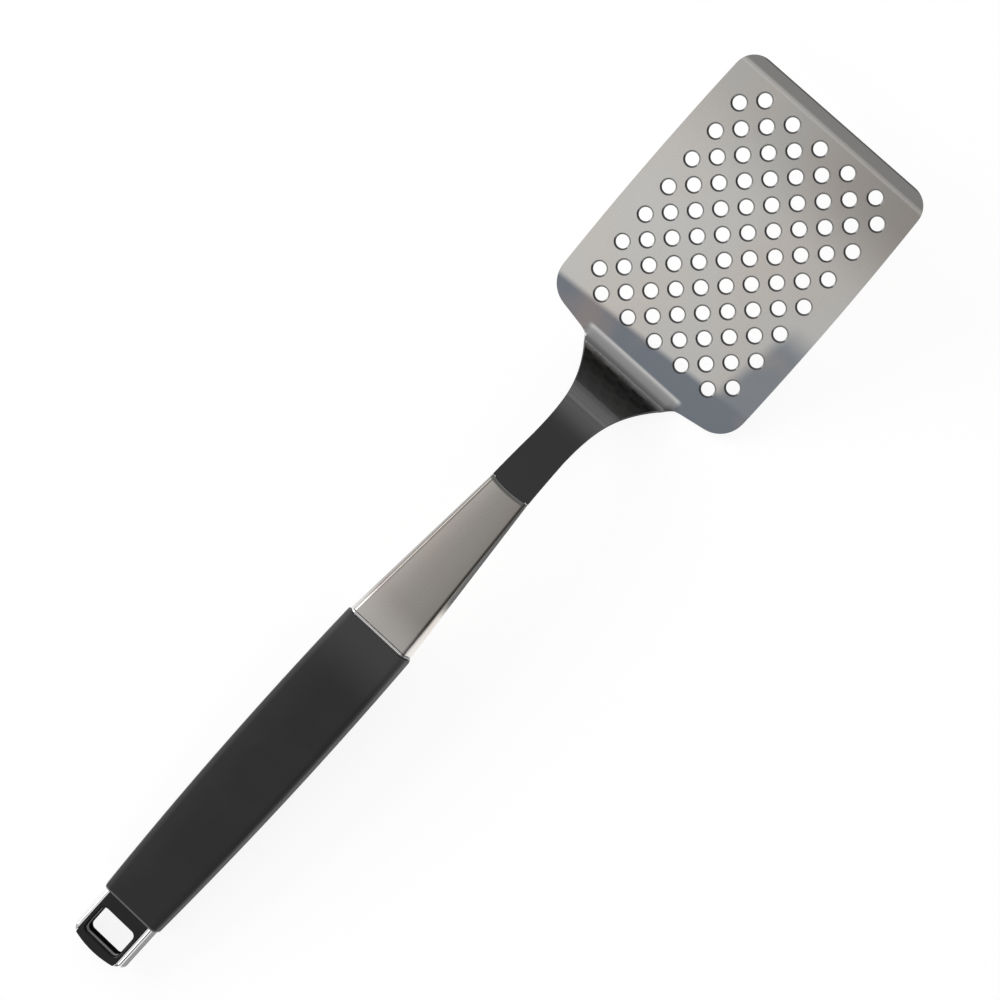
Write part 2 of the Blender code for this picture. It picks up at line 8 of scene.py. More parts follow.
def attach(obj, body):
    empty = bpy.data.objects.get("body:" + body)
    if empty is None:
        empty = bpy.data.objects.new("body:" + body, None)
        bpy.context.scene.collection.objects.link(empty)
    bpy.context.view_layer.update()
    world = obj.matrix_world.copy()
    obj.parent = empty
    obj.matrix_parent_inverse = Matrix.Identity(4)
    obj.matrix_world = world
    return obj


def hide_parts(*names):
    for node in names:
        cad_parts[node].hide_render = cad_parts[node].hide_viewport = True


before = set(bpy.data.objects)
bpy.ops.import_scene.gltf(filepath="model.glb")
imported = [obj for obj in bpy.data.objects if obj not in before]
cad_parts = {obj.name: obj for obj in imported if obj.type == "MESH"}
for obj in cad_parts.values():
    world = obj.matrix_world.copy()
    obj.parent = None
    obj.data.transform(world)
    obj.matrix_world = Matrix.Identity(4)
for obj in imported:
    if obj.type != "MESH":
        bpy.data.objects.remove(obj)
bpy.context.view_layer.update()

mm = 0.001
quarterTurn = math.radians(90)
tiny = 0.0005 * mm
touching = 0.1 * mm
rodSides = 32

# the two working frames: the flat blade, and the handle measured back from its mouth
bladePlace = {"origin": (0.155902, 0.0, 0.020531), "tilt": -18.613}
handlePlace = {"origin": (0.026698, 0.0, 0.028189), "tilt": -5.3131}


# small helpers for working in edit mode

def startFresh():
    if bpy.context.object and bpy.context.object.mode != "OBJECT":
        bpy.ops.object.mode_set(mode="OBJECT")
    bpy.ops.object.select_all(action="DESELECT")


def newPiece(name):
    piece = bpy.context.object
    piece.name = name
    piece.data.name = name
    bpy.ops.object.transform_apply(location=True, rotation=True, scale=True)
    return piece


def workOn(piece):
    startFresh()
    piece.select_set(True)
    bpy.context.view_layer.objects.active = piece


def pick(kind, test):
    bpy.ops.mesh.select_mode(type=kind)
    bpy.ops.mesh.select_all(action="DESELECT")
    shape = bmesh.from_edit_mesh(bpy.context.object.data)
    parts = {"VERT": shape.verts, "EDGE": shape.edges, "FACE": shape.faces}[kind]
    for part in parts:
        if test(part):
            part.select_set(True)
    bmesh.update_edit_mesh(bpy.context.object.data)


def edgeMiddle(edge):
    return (edge.verts[0].co + edge.verts[1].co) / 2


def edgeRun(edge):
    run = edge.verts[1].co - edge.verts[0].co
    return Vector((abs(run.x), abs(run.y), abs(run.z))) / max(run.length, tiny)


def moveVerts(rule):
    shape = bmesh.from_edit_mesh(bpy.context.object.data)
    for vert in shape.verts:
        vert.co = rule(vert.co)
    bmesh.update_edit_mesh(bpy.context.object.data)


def extrudeRows(count):
    for _ in range(count):
        bpy.ops.mesh.extrude_region_move(TRANSFORM_OT_translate={"value": (-1, 0, 0)})


def addModifier(piece, kind, **settings):
    workOn(piece)
    modifier = piece.modifiers.new(kind.lower(), kind)
    for key, value in settings.items():
        setattr(modifier, key, value)
    bpy.ops.object.modifier_apply(modifier=modifier.name)


def cutAway(piece, cutter, operation="DIFFERENCE"):
    addModifier(
        piece, "BOOLEAN", operation=operation, object=cutter, solver="EXACT", material_mode="TRANSFER")
    bpy.data.objects.remove(cutter)


def softenEdges(piece, width, segments, angle=40):
    addModifier(
        piece, "BEVEL", width=width, segments=segments, limit_method="ANGLE",
        angle_limit=math.radians(angle), use_clamp_overlap=True,
    )


def smoothOver(piece, angle=35):
    workOn(piece)
    bpy.ops.object.shade_smooth_by_angle(angle=math.radians(angle))
    addModifier(piece, "WEIGHTED_NORMAL", keep_sharp=True, weight=60)


def putInPlace(piece, place):
    workOn(piece)
    piece.rotation_euler = (0, math.radians(place["tilt"]), 0)
    piece.location = place["origin"]
    bpy.ops.object.transform_apply(location=True, rotation=True, scale=True)


def finishPiece(piece, node, place):
    smoothOver(piece)
    putInPlace(piece, place)
    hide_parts(node)
    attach(piece, "root")
    print("made", piece.name, len(piece.data.polygons), "faces")


def addBox(name, low, high):
    startFresh()
    middle = [(a + b) / 2 for a, b in zip(low, high)]
    size = [b - a for a, b in zip(low, high)]
    bpy.ops.mesh.primitive_cube_add(size=1, location=middle, scale=size)
    return newPiece(name)


def addRod(name, radius, length, location, rotation):
    startFresh()
    bpy.ops.mesh.primitive_cylinder_add(
        vertices=rodSides, radius=radius, depth=length, location=location, rotation=rotation)
    return newPiece(name)


# shader building: sums on sockets add their own nodes

class Wire:
    def __init__(self, finish, socket):
        self.finish = finish
        self.socket = socket

    def maths(self, operation, first, second):
        return self.finish.maths(operation, first, second)

    def __add__(self, other):
        return self.maths("ADD", self, other)

    def __radd__(self, other):
        return self.maths("ADD", other, self)

    def __sub__(self, other):
        return self.maths("SUBTRACT", self, other)

    def __rsub__(self, other):
        return self.maths("SUBTRACT", other, self)

    def __mul__(self, other):
        return self.maths("MULTIPLY", self, other)

    def __rmul__(self, other):
        return self.maths("MULTIPLY", other, self)

    def __truediv__(self, other):
        return self.maths("DIVIDE", self, other)

    def __rtruediv__(self, other):
        return self.maths("DIVIDE", other, self)


class Finish:
    def __init__(self, name, roughness, metallic):
        self.material = bpy.data.materials.new(name)
        self.material.use_nodes = True
        self.tree = self.material.node_tree
        self.shader = self.tree.nodes["Principled BSDF"]
        self.shader.inputs["Roughness"].default_value = roughness
        self.shader.inputs["Metallic"].default_value = metallic

    def node(self, kind, settings, inputs, output=0):
        made = self.tree.nodes.new(kind)
        for key, value in settings.items():
            if key == "stops":
                self.setStops(made.color_ramp, value)
            else:
                setattr(made, key, value)
        for key, value in inputs.items():
            self.feed(made.inputs[key], value)
        return Wire(self, made.outputs[output])

    def maths(self, operation, first, second):
        return self.node("ShaderNodeMath", {"operation": operation}, {0: first, 1: second})

    def setStops(self, ramp, stops):
        while len(ramp.elements) < len(stops):
            ramp.elements.new(1)
        for element, (position, shade) in zip(ramp.elements, stops):
            element.position = position
            element.color = (*shade, 1) if isinstance(shade, tuple) else (shade, shade, shade, 1)

    def feed(self, socket, value):
        if isinstance(value, Wire):
            self.tree.links.new(value.socket, socket)
        elif socket.type == "RGBA" and len(value) == 3:
            socket.default_value = (*value, 1)
        else:
            socket.default_value = value

    def placed(self, place):
        coords = self.node("ShaderNodeTexCoord", {}, {}, "Object")
        turn = (0, math.radians(place["tilt"]), 0)
        return self.node("ShaderNodeMapping", {"vector_type": "TEXTURE"}, {
            "Vector": coords, "Location": place["origin"], "Rotation": turn})

    def times(self, first, second):  # for colours and coordinates, axis by axis
        return self.node("ShaderNodeVectorMath", {"operation": "MULTIPLY"}, {0: first, 1: second})

    def noise(self, coords, scale, detail=3.0, roughness=0.55):
        return self.node("ShaderNodeTexNoise", {}, {
            "Vector": coords, "Scale": scale, "Detail": detail, "Roughness": roughness}, "Fac")

    def axis(self, coords, name):
        return self.node("ShaderNodeSeparateXYZ", {}, {"Vector": coords}, name)

    def between(self, value, low, high):
        return self.node("ShaderNodeMapRange", {"interpolation_type": "SMOOTHSTEP"}, {
            "Value": value, "From Min": low, "From Max": high, "To Min": 0.0, "To Max": 1.0})

    def blend(self, factor, first, second):
        return self.node("ShaderNodeMix", {"data_type": "RGBA"}, {
            "Factor": factor, 6: first, 7: second}, 2)

    def ramp(self, value, low, high, stops):
        share = self.node("ShaderNodeMapRange", {}, {"Value": value, "From Min": low, "From Max": high})
        return self.node("ShaderNodeValToRGB", {"stops": stops}, {"Fac": share})

    def bump(self, height, strength, distance):
        return self.node("ShaderNodeBump", {}, {
            "Height": height, "Strength": strength, "Distance": distance}, "Normal")

    def wear(self, **channels):
        names = {"colour": "Base Color", "roughness": "Roughness", "metallic": "Metallic", "normal": "Normal"}
        for key, value in channels.items():
            self.feed(self.shader.inputs[names[key]], value)
        return self.material


# finishes: a look holds the colours, and the stretches in metres over which one gives way to the next

def bladeSteel():
    look = {
        # painted reflection: the plate is painted lighter towards the far side and darker towards the front
        "nearSide": (0.715, 0.705, 0.685), "farSide": (0.800, 0.792, 0.772), "sides": (-0.050, 0.040),
        "nearFront": (0.460, 0.435, 0.410), "farFront": (0.690, 0.675, 0.650), "frontFrom": (0.010, 0.050),
        "warm": (1.03, 0.98, 0.94), "warmFrom": (0.38, 0.72),
        # painted highlight: a light line along the crease where the plate meets the ground bevel
        "line": (0.93, 0.93, 0.92), "lineShare": 0.40,
        "lineFrom": (0.0553, 0.0561), "lineTo": (0.0571, 0.0577),
        # painted reflection: the ground bevel is painted darker, and a painted dark line runs along the front
        # edge
        "bevel": (0.460, 0.450, 0.440), "bevelFrom": (0.0570, 0.0582),
        "rim": (0.200, 0.200, 0.200), "rimFrom": (0.0613, 0.0617),
        # painted reflection: a darker, bluish tone over the heel end and the near edge, varied with random
        # rosy patches
        "reflectedDark": (0.255, 0.283, 0.325), "rosy": (0.370, 0.335, 0.335), "rosyFrom": (0.46, 0.62),
        "heelSlant": 0.07, "heelFrom": (0.0493, 0.0527),
        "edgeSlant": 0.15, "edgeFrom": (0.036, 0.043), "edgeFades": (0.004, 0.020), "edgeShare": 0.85,
        "rough": 0.27, "neckRough": 0.19, "riserRough": 0.10, "grainRough": 0.03, "cloudRough": 0.06,
        "pressedFrom": (0.0012, 0.0040), "riserFrom": (0.004, 0.006), "riserTo": (0.018, 0.021),
        "grain": (30, 1400, 1400), "tint": (1.0, 1.6, 1.0), "grainHeight": 0.00003,
        # painted reflection and shade: how dark the colour is painted along the heel, the riser and the neck,
        # as shares of "neckReach"
        "neckReach": (0.060, 0.122), "neckFrom": (0.0600, 0.0608), "neckSides": (0.0222, 0.0250),
        "neck": [
            (0.008, 0.55), (0.020, 0.86), (0.030, 0.80), (0.040, 0.62), (0.052, 0.58), (0.077, 0.50),
            (0.090, 0.33), (0.111, 0.18), (0.119, 0.42), (0.129, 0.22), (0.137, 0.070), (0.150, 0.040),
            (0.177, 0.040), (0.215, 0.075), (0.256, 0.100), (0.270, 0.11), (0.280, 0.075), (0.302, 0.086),
            (0.325, 0.090), (0.350, 0.165), (0.394, 0.185), (0.427, 0.165), (0.465, 0.120), (0.500, 0.092),
            (0.548, 0.082), (1.0, 0.084),
        ],
    }
    finish = Finish("satinBladeSteel", look["rough"], 1.0)
    coords = finish.placed(bladePlace)
    along = finish.axis(coords, "X")
    side = finish.axis(coords, "Y")
    height = finish.axis(coords, "Z")
    back = along * -1.0
    grain = finish.noise(finish.times(coords, look["grain"]), 1.0, 4.0)
    cloud = finish.noise(coords, 26.0, 2.0)
    tint = finish.noise(finish.times(coords, look["tint"]), 17.0, 1.0)
    # painted reflection: lighter towards the far side, darker towards the front
    across = finish.between(side, *look["sides"])
    colour = finish.blend(across, look["nearSide"], look["farSide"])
    front = finish.blend(across, look["nearFront"], look["farFront"])
    colour = finish.blend(finish.between(along, *look["frontFrom"]), colour, front)
    warmed = finish.times(colour, look["warm"])
    colour = finish.blend(finish.between(tint, *look["warmFrom"]), colour, warmed)
    # painted highlight along the crease before the ground bevel
    line = finish.between(along, *look["lineFrom"]) * (1.0 - finish.between(along, *look["lineTo"]))
    colour = finish.blend(line * look["lineShare"], colour, look["line"])
    # painted reflection: darker ground bevel, then a painted dark line along the front edge
    colour = finish.blend(finish.between(along, *look["bevelFrom"]), colour, look["bevel"])
    colour = finish.blend(finish.between(along, *look["rimFrom"]), colour, look["rim"])

    # painted reflection of the darker, bluish room over the heel end and along the near edge, varied with
    # random rosy patches
    heel = finish.between(back - side * look["heelSlant"], *look["heelFrom"])
    edge = finish.between(back * look["edgeSlant"] - side, *look["edgeFrom"])
    edge = edge * finish.between(back, *look["edgeFades"]) * look["edgeShare"]
    darkReflectionShare = heel + edge - heel * edge
    darkReflection = finish.blend(finish.between(cloud, *look["rosyFrom"]), look["reflectedDark"], look["rosy"])
    colour = finish.blend(darkReflectionShare, colour, darkReflection)

    # painted reflection and shade: the heel, riser and neck are painted darker along the ramp, away from the
    # neck's sides
    reach = finish.maths("ABSOLUTE", side, 0.0)
    neck = finish.between(back, *look["neckFrom"]) * (1.0 - finish.between(reach, *look["neckSides"]))
    colour = finish.blend(neck, colour, finish.ramp(back, *look["neckReach"], look["neck"]))
    riser = finish.between(height, *look["riserFrom"]) * (1.0 - finish.between(height, *look["riserTo"]))
    sanded = look["rough"] + (grain - 0.5) * look["grainRough"] + (cloud - 0.5) * look["cloudRough"]
    burnished = look["neckRough"] + riser * (look["riserRough"] - look["neckRough"])
    pressed = finish.between(height, *look["pressedFrom"])
    rough = sanded * (1.0 - pressed) + pressed * burnished
    normal = finish.bump(grain, 0.006, look["grainHeight"])
    return finish.wear(colour=colour, roughness=rough, normal=normal)


def punchedSteel():
    # sheared edges and hole walls: partly their own darker sheared finish, partly painted shade; on the neck
    # painted darker still, with the painted reflection there
    look = {"dark": (0.085, 0.085, 0.088), "light": (0.150, 0.150, 0.152),
            "neck": (0.022, 0.022, 0.023), "neckFrom": (0.067, 0.072), "dragHeight": 0.0001}
    finish = Finish("shearedEdgeShadedSteel", 0.45, 1.0)
    coords = finish.placed(bladePlace)
    drag = finish.noise(finish.times(coords, (2600, 2600, 300)), 1.0, 2.0)
    colour = finish.blend(drag, look["dark"], look["light"])
    neck = finish.between(finish.axis(coords, "X") * -1.0, *look["neckFrom"])
    colour = finish.blend(neck, colour, look["neck"])
    normal = finish.bump(drag, 0.2, look["dragHeight"])
    return finish.wear(colour=colour, roughness=0.40 + drag * 0.2, normal=normal)


def holeRimShadedSteel():
    # painted shade: a darker ring of steel on the rolled rim around each hole
    finish = Finish("holeRimShadedSteel", 0.35, 1.0)
    coords = finish.placed(bladePlace)
    drag = finish.noise(coords, 900.0, 2.0)
    colour = finish.blend(drag, (0.30, 0.30, 0.30), (0.38, 0.38, 0.37))
    return finish.wear(colour=colour, roughness=0.32 + drag * 0.12)


def brushedSteel():
    look = {
        # painted reflection and shade: tones from the near edge of the face to the far one, with painted
        # bright and dark bands by both edges
        "across": [(0.0, 0.80), (0.035, 0.70), (0.055, 0.24), (0.08, 0.24), (0.105, 0.47), (0.30, 0.52),
                   (0.50, 0.56), (0.675, 0.63), (0.885, 0.78), (0.905, 0.40), (0.92, 0.30), (1.0, 0.26)],
        "mouthHalf": 0.0091, "widening": 0.0805, "sag": 0.0009,
        "warm": (1.06, 1.00, 0.92), "rosy": (1.08, 0.97, 0.90), "rosyFrom": (0.35, 0.75),
        "gripEnd": (0.95, 0.93, 0.90), "gripEndFrom": (0.058, 0.073), "gripEndShare": 0.52,
        "lip": (0.25, 0.25, 0.24), "lipEnd": (0.08, 0.08, 0.08), "lipFrom": (-0.0017, -0.0013),
        "lipEndFrom": (0.0074, 0.0084),
        "nearEdge": (0.030, 0.030, 0.030), "nearEdgeTo": (-0.93, -0.88), "nearEdgeFades": (0.046, 0.056),
        "farEdgeFrom": (0.888, 0.905), "paintedShadeStrength": 0.92,
        "rough": 0.27, "grainRough": 0.10, "grain": (45, 2100, 2100), "grainHeight": 0.00005,
    }
    finish = Finish("brushedHandleSteel", 0.34, 1.0)
    coords = finish.placed(handlePlace)
    grain = finish.noise(finish.times(coords, look["grain"]), 1.0, 4.0)
    tint = finish.noise(coords, 30.0, 1.5)
    back = finish.axis(coords, "X") * -1.0
    side = finish.axis(coords, "Y")
    across = side / (look["mouthHalf"] + back * look["widening"])
    # painted reflection and shade across the face
    colour = finish.ramp(across, -1.0, 1.0, look["across"])
    # painted shade along the near edge, fading out before the grip
    shadowed = 1.0 - finish.between(back, *look["nearEdgeFades"])
    shadowed = shadowed * (1.0 - finish.between(across, *look["nearEdgeTo"]))
    colour = finish.blend(shadowed, colour, look["nearEdge"])
    toning = finish.blend(finish.between(tint, *look["rosyFrom"]), look["warm"], look["rosy"])
    colour = finish.times(colour, toning)
    # painted light: the face is painted lighter towards the grip end
    gripEnd = finish.between(back, *look["gripEndFrom"]) * look["gripEndShare"]
    colour = finish.blend(gripEnd, colour, look["gripEnd"])

    # painted shade along the lip, darker at its corners; the lip follows the arch of the mouth
    share = side / look["mouthHalf"]
    inside = back - look["sag"] * (1.0 - share * share)
    corner = finish.between(finish.maths("ABSOLUTE", side, 0.0), *look["lipEndFrom"])
    mouth = finish.between(inside * -1.0, *look["lipFrom"])
    colour = finish.blend(mouth, colour, finish.blend(corner, look["lip"], look["lipEnd"]))
    # where shade is painted (near edge, lip corners, far edge) the steel turns non-metallic, so the dark
    # painted colour shows
    paintedShade = finish.maths("MAXIMUM", shadowed, mouth * corner)
    paintedShade = finish.maths("MAXIMUM", paintedShade, finish.between(across, *look["farEdgeFrom"]))
    rough = look["rough"] + (grain - 0.5) * look["grainRough"]
    normal = finish.bump(grain, 0.03, look["grainHeight"])
    return finish.wear(colour=colour, roughness=rough, metallic=1.0 - paintedShade * look["paintedShadeStrength"], normal=normal)


def polishedSteel():
    look = {"bright": (0.88, 0.88, 0.88), "brightest": (0.94, 0.94, 0.94),
            "nearWall": (0.25, 0.25, 0.25), "nearWallFrom": (0.0120, 0.0124), "marks": (300, 1500, 1500)}
    finish = Finish("polishedHandleSteel", 0.10, 1.0)
    coords = finish.placed(handlePlace)
    haze = finish.noise(coords, 160.0, 3.0)
    marks = finish.noise(finish.times(coords, look["marks"]), 1.0, 2.0)
    colour = finish.blend(haze, look["bright"], look["brightest"])
    # painted shade on the near side wall: darker and less metallic
    paintedShade = finish.between(finish.axis(coords, "Y") * -1.0, *look["nearWallFrom"])
    colour = finish.blend(paintedShade, colour, look["nearWall"])
    rough = 0.07 + haze * 0.08 + marks * 0.04
    return finish.wear(colour=colour, roughness=rough, metallic=1.0 - paintedShade * 0.9)


def gripRubber():
    look = {
        "base": (0.0250, 0.0250, 0.0260), "wornAndLit": (0.042, 0.042, 0.043), "litSide": (0.002, 0.014),
        "front": (0.066, 0.066, 0.067), "frontTo": (0.079, 0.104),
        "endRim": (0.20, 0.20, 0.20), "endRimFrom": (0.2190, 0.2194), "stippleHeight": 0.00010,
    }
    finish = Finish("softGripRubber", 0.5, 0.0)
    finish.shader.inputs["Specular IOR Level"].default_value = 0.36
    coords = finish.placed(handlePlace)
    back = finish.axis(coords, "X") * -1.0
    side = finish.axis(coords, "Y")
    stipple = finish.noise(coords, 2600.0, 2.0, 0.6)
    handling = finish.noise(coords, 45.0, 3.0)
    # random rubbed wear, plus painted light: the far side of the grip painted lighter
    wearAndLitSide = finish.between(handling, 0.35, 0.75) * 0.35 + finish.between(side, *look["litSide"]) * 0.55
    colour = finish.blend(wearAndLitSide, look["base"], look["wornAndLit"])
    colour = finish.blend(1.0 - finish.between(back, *look["frontTo"]), colour, look["front"])
    # painted highlight along the rounded rear end of the grip
    colour = finish.blend(finish.between(back, *look["endRimFrom"]), colour, look["endRim"])
    normal = finish.bump(stipple, 0.20, look["stippleHeight"])
    return finish.wear(colour=colour, roughness=0.46 + handling * 0.18, normal=normal)


def glossPlastic():
    finish = Finish("glossBlackPlastic", 0.14, 0.0)
    finish.shader.inputs["Specular IOR Level"].default_value = 0.30
    coords = finish.placed(handlePlace)
    ripple = finish.noise(coords, 220.0, 2.0)
    colour = finish.blend(ripple, (0.006, 0.006, 0.006), (0.014, 0.014, 0.014))
    normal = finish.bump(ripple, 0.05, 0.3 * mm)
    return finish.wear(colour=colour, roughness=0.10 + ripple * 0.10, normal=normal)


def eyeWallPlastic():
    look = {"dark": (0.004, 0.004, 0.004), "light": (0.008, 0.008, 0.008),
            "highlightBand": (0.42, 0.42, 0.42), "highlightBandFrom": (0.0006, 0.0018), "highlightBandTo": (0.0036, 0.0046)}
    finish = Finish("eyeWallPlastic", 0.40, 0.0)
    finish.shader.inputs["Specular IOR Level"].default_value = 0.0
    coords = finish.placed(handlePlace)
    draw = finish.noise(finish.times(coords, (900, 900, 90)), 1.0, 2.0)
    height = finish.axis(coords, "Z")
    # painted highlight: a light band on the upper part of the eye's walls
    highlightBand = finish.between(height, *look["highlightBandFrom"]) * (1.0 - finish.between(height, *look["highlightBandTo"]))
    colour = finish.blend(draw, look["dark"], look["light"])
    colour = finish.blend(highlightBand, colour, look["highlightBand"])
    return finish.wear(colour=colour, roughness=0.34 + draw * 0.12)


def mouldedNylon():
    finish = Finish("mouldedNylon", 0.55, 0.0)
    coords = finish.placed(handlePlace)
    flow = finish.noise(finish.times(coords, (1, 4, 4)), 120.0, 3.0)
    colour = finish.blend(flow, (0.17, 0.17, 0.16), (0.24, 0.24, 0.23))
    return finish.wear(colour=colour, roughness=0.48 + flow * 0.16, normal=finish.bump(flow, 0.2, 0.2 * mm))


def turnedSteel():
    finish = Finish("turnedRivetSteel", 0.28, 1.0)
    coords = finish.placed(handlePlace)
    rings = finish.noise(finish.times(coords, (900, 900, 3800)), 1.0, 2.0)
    colour = finish.blend(rings, (0.48, 0.48, 0.46), (0.62, 0.62, 0.60))
    return finish.wear(colour=colour, roughness=0.22 + rings * 0.14)


print("mixing finishes")
finishes = {
    "blade": bladeSteel(), "punched": punchedSteel(), "rolled": holeRimShadedSteel(), "brushed": brushedSteel(),
    "polished": polishedSteel(), "rubber": gripRubber(), "plastic": glossPlastic(),
    "eyeWall": eyeWallPlastic(), "nylon": mouldedNylon(), "rivet": turnedSteel(),
}


# the pressed blade, its neck and the tang inside the handle

blade = {
    "sheet": 1.5 * mm, "front": 62 * mm, "halfWidth": 48 * mm, "widestAt": -20 * mm, "bow": 1525 * mm,
    "frontCorner": 9 * mm, "rearCorner": 12.3 * mm, "rearCornerAt": -60.6 * mm,
    "shoulder": (-64.95 * mm, 23.5 * mm), "shoulderFillet": 8 * mm,
    "edgeBevel": 4.2 * mm, "edgeThickness": 0.5 * mm, "rim": 0.22 * mm, "edgeDarkens": 9 * mm,
    "heel": -60.5 * mm, "heelRadius": 9 * mm, "heelTurn": 58, "heelSteps": 14, "riser": 17.149 * mm,
    "easeRadius": 66 * mm, "easeTurn": 44.7, "easeSteps": 18, "neckLength": 79.797 * mm,
    "waistAt": 58 * mm, "waistHalf": 8.25 * mm, "flare": 11.4 * mm, "flareAt": 10 * mm, "flarePower": 2.5,
    "neckEnd": 9.05 * mm, "gap": 0.05 * mm,
    "tangHalf": 7.6 * mm, "tangLength": 66 * mm, "tangCorner": 2.5 * mm,
    "neckPoints": 18, "neckSpread": 1.25, "shortStep": 0.01 * mm, "foldSlack": 0.004 * mm, "cornerSteps": 10,
    "dimple": (20 * mm, 27 * mm), "dimpleCuts": 5,  # the bend fades out sideways, so the shoulders stay flat
}
holes = {
    "pitch": 10 * mm, "rows": 15, "odd": 5, "even": 6, "segments": 28,
    "profile": [(-1.0, 3.30), (-0.62, 2.90), (-0.4, 2.8), (0.2, 2.8),
                (0.45, 2.92), (0.64, 3.16), (0.86, 3.80), (1.2, 3.95)],
    "wallRings": (2, 4), "shadeFrom": 0.4 * mm, "rivets": (24 * mm, 54 * mm), "rivetRadius": 1.8 * mm,
    "rivetPunch": 6 * mm,
}


def sideHalf(x):
    return blade["halfWidth"] - (x - blade["widestAt"]) ** 2 / (2 * blade["bow"])


def roundedPath(corners, steps):
    path = []
    for i, (x, y, radius) in enumerate(corners):
        here = Vector((x, y))
        if not radius:
            path.append(here)
            continue
        before = (Vector(corners[i - 1][:2]) - here).normalized()
        after = (Vector(corners[i + 1][:2]) - here).normalized()
        half = before.angle(after) / 2
        centre = here + (before + after).normalized() * radius / math.sin(half)
        first = here + before * radius / math.tan(half) - centre
        last = here + after * radius / math.tan(half) - centre
        for k in range(steps + 1):
            path.append(centre + Matrix.Rotation(-first.angle_signed(last) * k / steps, 2) @ first)
    return path


def bladeSide():
    corners = [(blade["front"], 0, 0), (blade["front"], sideHalf(blade["front"]), blade["frontCorner"])]
    corners += [(x * mm, sideHalf(x * mm), 0) for x in range(45, -46, -10)]
    corners += [(blade["rearCornerAt"], sideHalf(blade["rearCornerAt"]), blade["rearCorner"])]
    corners += [(*blade["shoulder"], blade["shoulderFillet"])]
    reach = blade["waistAt"] - blade["flareAt"]
    for k in range(blade["neckPoints"] + 1):
        along = blade["flareAt"] + reach * (k / blade["neckPoints"]) ** blade["neckSpread"]
        share = (blade["waistAt"] - along) / reach
        half = blade["waistHalf"] + blade["flare"] * share ** blade["flarePower"]
        corners.append((blade["heel"] - along, half, 0))
    mouth = blade["heel"] - blade["neckLength"] + blade["gap"]
    corners += [(mouth + 2 * blade["shortStep"], blade["neckEnd"], 0), (mouth, blade["tangHalf"], 0)]
    corners += [(mouth - blade["tangLength"], blade["tangHalf"], blade["tangCorner"])]
    corners += [(mouth - blade["tangLength"] - blade["shortStep"], 0, 0)]
    return roundedPath(corners, blade["cornerSteps"])[1:-1]


def foldLines():
    lines = []
    start = blade["heel"]
    for radius, turn, steps, sign in (
            (blade["heelRadius"], blade["heelTurn"], blade["heelSteps"], 1),
            (blade["easeRadius"], blade["easeTurn"], blade["easeSteps"], -1)):
        length = radius * math.radians(turn)
        lines += [(start - length * (k + 0.5) / steps, sign * turn / steps) for k in range(steps)]
        start -= length + blade["riser"]
    return lines


def rowsWithFolds():
    side = bladeSide()
    rows = [(point.x, point.y) for point in side]
    for x, _ in foldLines():
        for (ax, ay), (bx, by) in zip(side, side[1:]):
            if bx < x < ax:
                rows.append((x, ay + (by - ay) * (x - ax) / (bx - ax)))
    rows.sort(key=lambda row: -row[0])
    kept = rows[:1]
    for row in rows[1:]:
        if kept[-1][0] - row[0] > blade["shortStep"]:
            kept.append(row)
    return kept


def flatBlank():
    rows = rowsWithFolds()
    startFresh()
    bpy.ops.mesh.primitive_plane_add(size=1, location=(-0.5, 0, 0))
    piece = newPiece("pressedBlade")
    bpy.ops.object.mode_set(mode="EDIT")
    pick("EDGE", lambda edge: edgeMiddle(edge).x < -0.9)
    extrudeRows(len(rows) - 2)

    def toRow(co):
        x, half = rows[round(-co.x)]
        return Vector((x, math.copysign(half, co.y), 0))

    moveVerts(toRow)
    bpy.ops.mesh.select_all(action="SELECT")
    bpy.ops.mesh.normals_make_consistent(inside=False)
    bpy.ops.object.mode_set(mode="OBJECT")
    addModifier(piece, "SOLIDIFY", thickness=blade["sheet"], offset=0, use_even_offset=True)
    return piece


def markShoulders(piece):
    workOn(piece)
    bpy.ops.object.mode_set(mode="EDIT")
    low, high = blade["dimple"]
    for k in range(blade["dimpleCuts"]):
        y = low + (high - low) * k / (blade["dimpleCuts"] - 1)
        for side in (1, -1):
            bpy.ops.mesh.select_all(action="SELECT")
            bpy.ops.mesh.bisect(plane_co=(0, side * y, 0), plane_no=(0, 1, 0), threshold=tiny)
    bpy.ops.object.mode_set(mode="OBJECT")


def shadeEdges(piece):
    piece.data.materials.append(finishes["blade"])
    piece.data.materials.append(finishes["punched"])
    piece.data.materials.append(finishes["rolled"])
    # the sheared walls take the dark finish, partly real, partly painted shade; on the neck the softened
    # edges take it too, a painted dark line along both neck edges
    for face in piece.data.polygons:
        onNeck = face.center.x < blade["heel"] - blade["edgeDarkens"]
        face.material_index = 1 if abs(face.normal.z) < (0.95 if onNeck else 0.5) else 0


def grindFrontEdge(piece):
    workOn(piece)
    bpy.ops.object.mode_set(mode="EDIT")
    bpy.ops.mesh.select_all(action="SELECT")
    drop = blade["sheet"] - blade["edgeThickness"]
    bpy.ops.mesh.bisect(
        plane_co=(blade["front"] - blade["edgeBevel"], 0, blade["sheet"] / 2),
        plane_no=(drop, 0, blade["edgeBevel"]), use_fill=True, clear_outer=True, threshold=tiny)
    bpy.ops.object.mode_set(mode="OBJECT")


